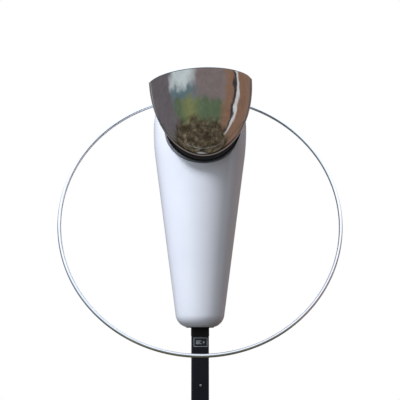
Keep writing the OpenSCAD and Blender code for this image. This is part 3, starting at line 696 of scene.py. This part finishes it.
@dataclass
class Scoop:
    """The pressed half bowl, its flange, rolled rim and back plate, all turned about the pivot."""

    palette: Palette
    rim_r: float = 187 * MM
    depth: float = 283 * MM
    cut: float = 57 * MM
    wall: float = 1.5 * MM
    back_t: float = 2 * MM
    lip_w: float = 4 * MM
    lip_t: float = 1.5 * MM
    rim_h: float = 157.5 * MM
    roll: float = 3.4
    trim_r: float = 2.2 * MM

    def __post_init__(self) -> None:
        """Takes the pivot and the back plane from the frame."""
        low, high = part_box("pivot_shaft")
        self.pivot = np.array([0.0, 0.0, (low[2] + high[2]) / 2])
        self.back_y = low[1]
        self.front_y = self.back_y - self.back_t
        self.axis_y = self.front_y + self.cut

    def place(self, points: Array) -> Array:
        """Moves points drawn level about the pivot to where the scoop rests.

        Args:
            points: points of shape (..., 3), measured from the pivot's height.

        Returns:
            The turned points.
        """
        return pitch_turn(points + self.pivot, self.roll, self.pivot)

    def bowl_grid(self, inset: float, lean: Array, turn: Array) -> Array:
        """Points of the bowl: half ellipses in planes parallel to the back, shrinking towards the front.

        Args:
            inset: distance inside the outer surface.
            lean: how far forward each plane lies, as an angle from the bowl's axis.
            turn: angle along each half ellipse, from the right edge to the left.

        Returns:
            A grid of shape (len(lean), len(turn), 3).
        """
        r, d = self.rim_r - inset, self.depth - inset
        a, s = lean[:, None], turn[None, :]
        return np.stack([r * np.cos(a) * np.cos(s), self.axis_y - r * np.sin(a) + 0 * s,
                         self.rim_h - d * np.cos(a) * np.sin(s)], axis=-1)

    def u_outline(self, half_w: float, depth: float, count: int = 129) -> Array:
        """Draws the U shape of the back: a half ellipse below the rim line.

        Args:
            half_w: half its width at the rim line.
            depth: how far it reaches below the rim line.
            count: number of points.

        Returns:
            Points of (x, z), shape (count, 2).
        """
        turn = smooth_steps(0, math.pi, count)
        return np.stack([half_w * np.cos(turn), self.rim_h - depth * np.sin(turn)], axis=1)

    def build_bowl(self) -> None:
        """Builds the bowl's outer and inner skins, its rim edge and the welding flange."""
        turn = smooth_steps(0, math.pi, 161)
        skins = []
        for inset in (0.0, self.wall):
            first = math.asin(self.cut / (self.rim_r - inset))
            even = smooth_steps(0, 1, 97)
            lean = first + (math.pi / 2 - first) * even
            skins.append(self.place(self.bowl_grid(inset, lean, turn)))
        outer, inner = skins
        bowl = Surface().grid(outer).grid(inner, flip=True)
        for column in (0, -1):
            bowl.grid(np.stack([outer[:, column], inner[:, column]], axis=0))
        bowl.grid(np.stack([outer[0], inner[0]], axis=0))
        piece = bowl.build("scoop_bowl_skin", 50)
        finish_piece(piece, self.palette.get(MIRROR_STEEL), "scoop", "polished_stainless", "scoop_bowl")
        self.build_flange()

    def build_flange(self) -> None:
        """Builds the flat flange round the bowl's edge, with a rounded outer edge."""
        chord = math.sqrt(self.rim_r ** 2 - self.cut ** 2)
        inner_d = self.depth * chord / self.rim_r
        half = self.lip_t / 2
        turn = smooth_steps(0, math.pi, 9)
        edge = [(self.lip_w - half + half * math.sin(a), half - half * math.cos(a)) for a in turn]
        section = [(0.0, 0.0), *edge, (0.0, self.lip_t)]
        rows = []
        for out, forward in section:
            u = self.u_outline(chord + out, inner_d + out)
            rows.append(np.stack([u[:, 0], np.full(len(u), self.front_y - forward), u[:, 1]], axis=1))
        points = self.place(np.stack(rows, axis=1))
        flange = Surface().grid(points, close_v=True).grid(cap(points[0])).grid(cap(points[-1]))
        piece = flange.build("scoop_flange", 50)
        finish_piece(piece, self.palette.get(MIRROR_STEEL), "scoop", "polished_stainless")

    def build_back(self) -> None:
        """Builds the flat back plate with its U outline."""
        chord = math.sqrt(self.rim_r ** 2 - self.cut ** 2)
        outline = self.u_outline(chord + self.lip_w, self.depth * chord / self.rim_r + self.lip_w)
        edge = 0.3 * MM
        middle = np.array([0.0, self.rim_h - self.depth * 0.35])
        rows = []
        for shrink, y in ((edge, self.front_y), (0.0, self.front_y + edge), (0.0, self.back_y - edge),
                          (edge, self.back_y)):
            scale = 1 - shrink / self.rim_r
            flat = middle + (outline - middle) * scale
            rows.append(np.stack([flat[:, 0], np.full(len(flat), y), flat[:, 1]], axis=1))
        points = self.place(np.stack(rows, axis=1))
        plate = Surface().grid(points, close_u=True)
        for column in (0, -1):
            y = rows[column][0, 1]
            centre = self.place(np.array([middle[0], y, middle[1]]))
            plate.grid(np.concatenate([cap(points[:, column], centre),
                                       cap(points[:1, column], centre)], axis=0))
        piece = plate.build("scoop_back_sheet", 40)
        finish_piece(piece, self.palette.get(MIRROR_STEEL), "scoop", "polished_stainless",
                     "scoop_back_plate")

    def build_rim(self) -> None:
        """Builds the rolled rim: a thin bead that follows the bowl's edge."""
        arc = math.acos(self.cut / self.rim_r) - math.radians(1)
        angles = smooth_steps(-arc, arc, 161)
        turn = smooth_steps(0, 2 * math.pi, 17)[:-1]
        ring_r = self.rim_r - self.wall / 2 + self.trim_r * np.cos(turn)[None, :]
        points = np.stack([ring_r * np.sin(angles)[:, None], self.axis_y - ring_r * np.cos(angles)[:, None],
                           self.rim_h + self.trim_r * np.sin(turn)[None, :] + 0 * angles[:, None]], axis=-1)
        points = self.place(points)
        rim = Surface().grid(points, close_v=True).grid(cap(points[0])).grid(cap(points[-1]))
        piece = rim.build("scoop_rim_bead")
        finish_piece(piece, self.palette.get(TUBE_STEEL), "scoop", "polished_stainless", "rim_trim")

    def build(self) -> None:
        """Builds every visible part of the scoop."""
        self.build_bowl()
        self.build_back()
        self.build_rim()


# ---------------------------------------------------------------- mast


@dataclass
class Mast:
    """The square mast, its sleeve (rubber, with its black also painting the pod's shade), label, screw, base
    plate and weld.
    """

    palette: Palette
    corner: float = 5 * MM
    lip: float = 0.5 * MM
    base_corner: float = 10 * MM
    chamfer: float = 1.5 * MM
    hole_r: float = 6.5 * MM
    hole_pitch: float = 150 * MM
    weld_leg: float = 5 * MM
    weld_ripple: float = 4.5 * MM
    ink_t: float = 0.12 * MM

    def prism(self, name: str, rings: Sequence[tuple[float, float, float]]) -> bpy.types.Object:
        """Builds a closed rounded-square prism.

        Args:
            name: the piece's name.
            rings: width, corner radius and height of each ring, from the bottom up.

        Returns:
            The object.
        """
        loops = []
        for width, corner, z in rings:
            outline = rounded_square(width, corner)
            loops.append(np.column_stack([outline, np.full(len(outline), z)]))
        points = np.stack(loops, axis=1)
        solid = Surface().grid(points, close_u=True)
        for column in (0, -1):
            ring = points[:, column]
            solid.grid(cap(ring), close_u=True)
        return solid.build(name, 30)

    def build_tube(self) -> None:
        """Builds the mast tube and the sleeve under the pod; the sleeve is rubber, and its matt neutral
        black also paints the shade that the pod casts on the mast's top.
        """
        low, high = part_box("mast_tube")
        width = high[0] - low[0]
        tube = self.prism("mast_skin", [(width, self.corner, low[2]), (width, self.corner, high[2])])
        finish_piece(tube, self.palette.get(POWDER_COAT), "mast", "mast_coat", "mast_tube")
        # The sleeve's matt neutral black stands for rubber and also paints the shade under the pod on the
        # mast's top.
        low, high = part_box("mast_sleeve")
        width = high[0] - low[0]
        corner = self.corner + 1 * MM
        soft = self.lip
        sleeve = self.prism("mast_sleeve_and_shade_band", [
            (width - 2 * soft, corner - soft, low[2]), (width, corner, low[2] + soft),
            (width, corner, high[2] - soft), (width - 2 * soft, corner - soft, high[2])])
        finish_piece(sleeve, self.palette.get(EPDM), "mast", "black_rubber", "mast_sleeve")

    def build_label(self) -> None:
        """Builds the printed frame on the rating plate, with plain bars and a dot for the wording."""
        low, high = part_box("rating_plate")
        ink = Surface()
        face_y = low[1] - self.ink_t

        def bar(x0: float, z0: float, x1: float, z1: float) -> None:
            """Adds one flat printed bar that stands just proud of the film.

            Args:
                x0: its left edge.
                z0: its lower edge.
                x1: its right edge.
                z1: its upper edge.
            """
            corners = np.array([[x0, z0], [x1, z0], [x1, z1], [x0, z1]])
            front = np.column_stack([corners[:, 0], np.full(4, face_y), corners[:, 1]])
            back = front + np.array([0, 2 * self.ink_t, 0])
            ink.grid(np.stack([back, front], axis=1), close_u=True)
            ink.grid(front[[0, 1, 3, 2]].reshape(2, 2, 3))
            ink.grid(back[[0, 1, 3, 2]].reshape(2, 2, 3), flip=True)

        edge, line = 0.3 * MM, 1.7 * MM
        x0, x1 = low[0] + edge, high[0] - edge
        z0, z1 = low[2] + edge, high[2] - edge
        bar(x0, z1 - line, x1, z1)
        bar(x0, z0, x1, z0 + line)
        bar(x0, z0 + line, x0 + line, z1 - line)
        bar(x1 - line, z0 + line, x1, z1 - line)
        width, height = x1 - x0, z1 - z0
        for left, right, bottom, top in ((0.17, 0.56, 0.61, 0.68), (0.17, 0.46, 0.46, 0.53),
                                         (0.17, 0.56, 0.31, 0.38), (0.68, 0.78, 0.40, 0.58)):
            bar(x0 + left * width, z0 + bottom * height, x0 + right * width, z0 + top * height)
        piece = ink.build("rating_plate_print")
        finish_piece(piece, self.palette.get(LABEL_INK), "mast", "label")

    def build_screw(self) -> None:
        """Builds the access screw: a domed head with a round socket, turned about its own axis."""
        low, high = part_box("access_screw")
        r, height = (high[0] - low[0]) / 2, 3 * MM
        socket_r, socket_d = 0.45 * r, 1.6 * MM
        turn = smooth_steps(0, math.pi / 2, 9)
        dome = np.stack([r - height * (1 - np.cos(turn)) * 0.8, height * np.sin(turn)], axis=1)
        shank_r, shank_l, socket_z = 3 * MM, 8 * MM, height - socket_d
        shank = [[0.0, -shank_l], [shank_r, -shank_l], [shank_r, 0.0], [r, 0.0]]
        socket = [[socket_r, height], [socket_r, socket_z], [0.0, socket_z]]
        profile = np.concatenate([shank, dome, socket])
        grid = revolve(profile, smooth_steps(0, 2 * math.pi, 49)[:-1])
        middle_z = (low[2] + high[2]) / 2
        face_y = low[1] + height
        points = np.stack([grid[..., 0], face_y - grid[..., 2], middle_z + grid[..., 1]], axis=-1)
        piece = Surface().grid(points, close_u=True).build("access_screw_head")
        finish_piece(piece, self.palette.get(ZINC), "mast", "zinc_screw", "access_screw")

    def build_base(self) -> None:
        """Builds the base plate with chamfered edges and four holes, and the weld round the mast."""
        low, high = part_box("base_plate")
        width, t, c = high[0] - low[0], high[2], self.chamfer
        plate = self.prism("base_plate_skin", [
            (width - 2 * c, self.base_corner - c, 0.0), (width, self.base_corner, c),
            (width, self.base_corner, t - c), (width - 2 * c, self.base_corner - c, t)])
        turn = smooth_steps(0, 2 * math.pi, 41)[:-1]
        cutter = Surface()
        for x in (-1, 1):
            for y in (-1, 1):
                middle = np.array([x, y]) * self.hole_pitch / 2
                rings = [np.column_stack([middle[0] + self.hole_r * np.cos(turn),
                                          middle[1] + self.hole_r * np.sin(turn), np.full(len(turn), z)])
                         for z in (-t, 2 * t)]
                cutter.grid(np.stack(rings, axis=1), close_u=True)
                for ring in rings:
                    cutter.grid(cap(ring), close_u=True)
        tool = cutter.build("hole_cutter")
        cut = plate.modifiers.new("holes", "BOOLEAN")
        cut.object, cut.operation, cut.solver = tool, "DIFFERENCE", "EXACT"
        shaped = bpy.data.meshes.new_from_object(plate.evaluated_get(bpy.context.evaluated_depsgraph_get()))
        plate.modifiers.clear()
        plate.data = shaped
        bpy.data.objects.remove(tool)
        shaped.set_sharp_from_angle(angle=math.radians(30))
        finish_piece(plate, self.palette.get(POWDER_COAT), "mast", "mast_coat", "base_plate")
        self.build_weld(t)

    def build_weld(self, plate_z: float) -> None:
        """Builds the fillet weld at the mast's foot: a rippled quarter round along the tube's outline.

        Args:
            plate_z: height of the plate's top face.
        """
        low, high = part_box("mast_tube")
        width = high[0] - low[0]
        base = rounded_square(width, self.corner, 25)
        step = np.linalg.norm(np.diff(base, axis=0, append=base[:1]), axis=1)
        total = int(step.sum() / (0.9 * MM))
        along = np.concatenate([[0], np.cumsum(step)])
        where = smooth_steps(0, along[-1], total + 1)[:-1]
        loop = np.vstack([base, base[:1]])
        path = np.column_stack([np.interp(where, along, loop[:, i]) for i in range(2)])
        ahead, behind = np.roll(path, -1, axis=0), np.roll(path, 1, axis=0)
        tangent = ahead - behind
        outward = np.column_stack([tangent[:, 1], -tangent[:, 0]])
        outward /= np.linalg.norm(outward, axis=1, keepdims=True)
        leg = self.weld_leg * (1 + 0.10 * np.sin(where / self.weld_ripple * 2 * math.pi))
        section = np.array([[-0.2, 0.0], [1.0, 0.0], [0.72, 0.38], [0.38, 0.72], [0.0, 1.0], [-0.2, 1.0]])
        points = np.stack([np.column_stack([path + outward * (leg * out)[:, None],
                                            plate_z + leg * up]) for out, up in section], axis=1)
        piece = Surface().grid(points, close_u=True, close_v=True).build("base_weld", 60)
        finish_piece(piece, self.palette.get(POWDER_COAT), "mast", "mast_coat")

    def build(self) -> None:
        """Builds every visible part of the mast."""
        self.build_tube()
        self.build_label()
        self.build_screw()
        self.build_base()


# ---------------------------------------------------------------- finishes of the CAD nodes

NODE_FINISH: dict[str, Finish] = {
    **dict.fromkeys(("base_plate", "base_gussets", "mast_tube"), POWDER_COAT),
    **dict.fromkeys(("mast_sleeve", "seam_gasket", "base_seal", "collar_seal", "hoop_grommets"), EPDM),
    **dict.fromkeys(("access_screw", "cross_bolts", "bell_bolts", "counterweight_bolts", "seam_screws",
                     "clamp_bolts", "swivel_bolts"), ZINC),
    **dict.fromkeys(("cable_gland", "collar"), SATIN_ASA),
    **dict.fromkeys(("mast_head", "spindle", "spindle_nut", "hub_tube_lower", "hub_tube_upper",
                     "hoop_joiner", "hoop_clamp_base", "hoop_clamp_cap", "hub_cap", "pivot_shaft",
                     "pivot_washer", "pivot_nut"), TURNED_STEEL),
    **dict.fromkeys(("stator_core", "back_iron"), LAMINATION),
    **dict.fromkeys(("bearing_inner_races", "bearing_outer_races", "bearing_balls"), BEARING_STEEL),
    **dict.fromkeys(("lower_bulkhead", "upper_bulkhead", "bell_lower", "bell_upper", "pivot_housing"),
                    MILLED_ALLOY),
    "swivel_disc": BLACK_ANODISED,
    **dict.fromkeys(("pod_shell_front", "pod_shell_rear"), GELCOAT),
    **dict.fromkeys(("scoop_bowl", "scoop_back_plate"), MIRROR_STEEL),
    **dict.fromkeys(("hoop", "rim_trim"), TUBE_STEEL),
    "rating_plate": LABEL_FILM,
    "stator_coils": COPPER,
    "magnets": NICKEL,
    "counterweight": CAST_BALLAST,
    "pivot_bushes": BRONZE,
}


def dress_nodes(nodes: dict[str, bpy.types.Object], palette: Palette) -> None:
    """Gives every CAD node its finish.

    Args:
        nodes: the frame's nodes by name.
        palette: where the materials come from.
    """
    for name, node in nodes.items():
        material = palette.get(NODE_FINISH[name])
        node.data.materials.clear()
        node.data.materials.append(material)


# ---------------------------------------------------------------- surroundings


@dataclass(frozen=True)
class Band:
    """One height band of the surroundings.

    Attributes:
        edge: height of its lower edge, as the sine of the elevation.
        blur: half the height over which it fades in.
        stops: headings in degrees from straight towards the camera, with sRGB hex colours.
    """

    edge: float
    blur: float
    stops: tuple[tuple[int, str], ...]


# Leaf litter and gravel: four plain browns and a light stone, from the noise value up.
GROUND = ((0.30, "2d2921"), (0.45, "4a4438"), (0.55, "665f50"), (0.65, "878170"), (0.75, "b5b1a5"))

# Plain tones of an ordinary yard.
GREY_WALL = "75727a"
HAZE = "708a96"
HEDGE = "667a62"
SUNLIT_HEDGE = "8c9468"
PALE_SKY = "d8e8f2"
PLASTER = "8c8286"
BRICK = "967868"
SHADE = "403c42"
POST = "e8ecf6"

# What all heights share: a grey wall to the left, and brick with one bright post to the right.
LEFT_SIDE = ((-180, GREY_WALL), (-75, GREY_WALL))
RIGHT_SIDE = ((60, BRICK), (72, BRICK), (75, SHADE), (79, SHADE), (82, POST), (88, POST), (91, BRICK),
              (120, BRICK), (180, GREY_WALL))
# From the ground up: a hedge, a plastered wall in haze, then the open top.
SURROUNDINGS = (
    Band(-0.54, 0.09, (*LEFT_SIDE, (-60, HEDGE), (-30, SUNLIT_HEDGE), (0, HEDGE), (40, HEDGE), *RIGHT_SIDE)),
    Band(-0.15, 0.06, (*LEFT_SIDE, (-65, HAZE), (-30, HAZE), (0, PLASTER), (45, PLASTER), *RIGHT_SIDE)),
    Band(0.05, 0.06, (*LEFT_SIDE, (-65, PALE_SKY), (-30, PALE_SKY), (-10, PLASTER), (45, PLASTER),
                      *RIGHT_SIDE)),
)


@dataclass
class Studio:
    """Camera, lights, floor and the surroundings that the polished steel mirrors."""

    palette: Palette
    distance: float = 2.6
    azimuth: float = -3.5
    pitch: float = 10.09
    lens_mm: float = 64.5
    floor_r: float = 1.5
    aim_z: float = 0.95
    sky_colour: str = "eef3fb"
    sky_power: float = 1.5
    ambient: float = 0.55

    def build_camera(self, eye_z: float) -> None:
        """Places the camera at the height of the pod's underside, looking slightly up.

        Args:
            eye_z: height of the camera.
        """
        data = bpy.data.cameras.new("camera")
        data.lens = self.lens_mm
        camera = bpy.data.objects.new("camera", data)
        a = math.radians(self.azimuth)
        camera.location = (self.distance * math.sin(a), -self.distance * math.cos(a), eye_z)
        camera.rotation_euler = (math.radians(90 + self.pitch), 0, a)
        bpy.context.scene.collection.objects.link(camera)
        bpy.context.scene.camera = camera

    def add_area(self, name: str, place: tuple[float, float, float], size: float, power: float,
                 code: str) -> None:
        """Adds a soft area light aimed at the pod.

        Args:
            name: the light's name.
            place: its position.
            size: width of its square face.
            power: its power in watts.
            code: its colour, sRGB hex.
        """
        data = bpy.data.lights.new(name, "AREA")
        data.shape, data.size, data.energy, data.color = "SQUARE", size, power, linear(code)[:3]
        light = bpy.data.objects.new(name, data)
        light.location = place
        aim = np.array([0.0, 0.0, self.aim_z]) - np.array(place)
        flat = math.hypot(aim[0], aim[1])
        light.rotation_euler = (math.atan2(flat, -aim[2]), 0, math.atan2(aim[1], aim[0]) - math.pi / 2)
        light.visible_glossy = False
        bpy.context.scene.collection.objects.link(light)

    def build_floor(self) -> None:
        """Lays a pale round floor under the base plate."""
        turn = smooth_steps(0, 2 * math.pi, 97)[:-1]
        ring = np.column_stack([self.floor_r * np.cos(turn), self.floor_r * np.sin(turn),
                                np.zeros(len(turn))])
        floor = Surface().grid(cap(ring), close_u=True).build("studio_floor")
        floor.data.materials.append(self.palette.get(STUDIO_FLOOR))
        floor.visible_glossy = False
        floor.visible_diffuse = False

    def build_world(self) -> None:
        """Builds the surroundings: white behind the turbine, and a yard for the steel to mirror."""
        world = bpy.data.worlds.new("surroundings")
        bpy.context.scene.world = world
        world.use_nodes = True
        tree = world.node_tree
        tree.nodes.clear()
        way = add_node(tree, "ShaderNodeTexCoord").outputs["Generated"]
        parts = add_node(tree, "ShaderNodeSeparateXYZ", links={0: way})
        toward = add_node(tree, "ShaderNodeMath", {1: -1.0}, {0: parts.outputs[1]}, operation="MULTIPLY")
        heading = add_node(tree, "ShaderNodeMath", links={0: parts.outputs[0], 1: toward.outputs[0]},
                           operation="ARCTAN2")
        uneven = add_node(tree, "ShaderNodeTexNoise", {"Scale": 4.0, "Detail": 3.0, "Roughness": 0.5},
                          {"Vector": way})
        wobble = add_node(tree, "ShaderNodeMapRange", {3: -0.22, 4: 0.22}, {0: uneven.outputs["Fac"]})
        swayed = add_node(tree, "ShaderNodeMath", links={0: heading.outputs[0], 1: wobble.outputs[0]},
                          operation="ADD")
        around = add_node(tree, "ShaderNodeMapRange", {1: -math.pi, 2: math.pi}, {0: swayed.outputs[0]})
        height = add_node(tree, "ShaderNodeMath", links={0: parts.outputs[2], 1: wobble.outputs[0]},
                          operation="ADD")
        flat = add_node(tree, "ShaderNodeMapping", {"Scale": (1.0, 1.0, 2.4)}, {"Vector": way})
        mottle = add_node(tree, "ShaderNodeTexNoise", {"Scale": 4.5, "Detail": 8.0, "Roughness": 0.72,
                                                       "Distortion": 0.5}, {"Vector": flat.outputs[0]})
        ground = add_node(tree, "ShaderNodeValToRGB", links={0: mottle.outputs["Fac"]})
        set_ramp(ground, GROUND)
        colour = ground.outputs[0]
        for band in SURROUNDINGS:
            ramp = add_node(tree, "ShaderNodeValToRGB", links={0: around.outputs[0]})
            set_ramp(ramp, [((degrees + 180) / 360, code) for degrees, code in band.stops])
            edge = add_node(tree, "ShaderNodeMapRange", {1: band.edge - band.blur, 2: band.edge + band.blur},
                            {0: height.outputs[0]})
            layers = {0: edge.outputs[0], 6: colour, 7: ramp.outputs[0]}
            colour = add_node(tree, "ShaderNodeMix", links=layers, data_type="RGBA").outputs[2]
        blotch = add_node(tree, "ShaderNodeMapRange", {1: 0.3, 2: 0.7, 3: 0.84, 4: 1.16},
                          {0: mottle.outputs["Fac"]})
        yard = add_node(tree, "ShaderNodeBackground", links={"Color": colour, "Strength": blotch.outputs[0]})
        above = add_node(tree, "ShaderNodeMapRange", {1: 0.38, 2: 0.46}, {0: parts.outputs[2]})
        sky = add_node(tree, "ShaderNodeBackground", {"Color": linear(self.sky_colour),
                                                      "Strength": self.sky_power})
        open_air = add_node(tree, "ShaderNodeMixShader", links={0: above.outputs[0], 1: yard.outputs[0],
                                                               2: sky.outputs[0]})
        white = add_node(tree, "ShaderNodeBackground", {"Color": (1, 1, 1, 1), "Strength": 1.0})
        rays = add_node(tree, "ShaderNodeLightPath").outputs
        dim = add_node(tree, "ShaderNodeMath", {1: self.ambient}, {0: rays["Is Diffuse Ray"]},
                       operation="MULTIPLY")
        black = add_node(tree, "ShaderNodeBackground", {"Color": (0, 0, 0, 1)})
        softer = add_node(tree, "ShaderNodeMixShader", links={0: dim.outputs[0], 1: open_air.outputs[0],
                                                             2: black.outputs[0]})
        both = add_node(tree, "ShaderNodeMixShader", links={0: rays["Is Camera Ray"], 1: softer.outputs[0],
                                                           2: white.outputs[0]})
        add_node(tree, "ShaderNodeOutputWorld", links={0: both.outputs[0]})

    def build(self, eye_z: float) -> None:
        """Builds camera, lights, floor and surroundings.

        Args:
            eye_z: height of the camera.
        """
        self.build_camera(eye_z)
        self.build_floor()
        self.build_world()
        self.add_area("window_left", (-2.0, -2.0, 3.5), 1.1, 158, "f6f7fc")
        self.add_area("low_left", (-1.9, -1.9, 0.15), 1.3, 25, "f6f7fc")
        self.add_area("sky_above", (-0.6, 0.4, 3.6), 1.4, 14, "e6efff")
        bpy.context.scene.view_settings.view_transform = "Standard"


def main() -> None:
    """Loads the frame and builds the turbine's looks."""
    logging.basicConfig(level=logging.INFO, format="%(name)s %(message)s")
    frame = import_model()
    palette = Palette()
    pod = Pod(palette)
    Studio(palette).build(pod.low_z)
    dress_nodes(frame["nodes"], palette)
    for part in (pod, Collar(palette, pod), Hoop(palette, pod), Scoop(palette), Mast(palette)):
        LOG.info("building %s", type(part).__name__)
        part.build()


if __name__ == "__main__":
    main()
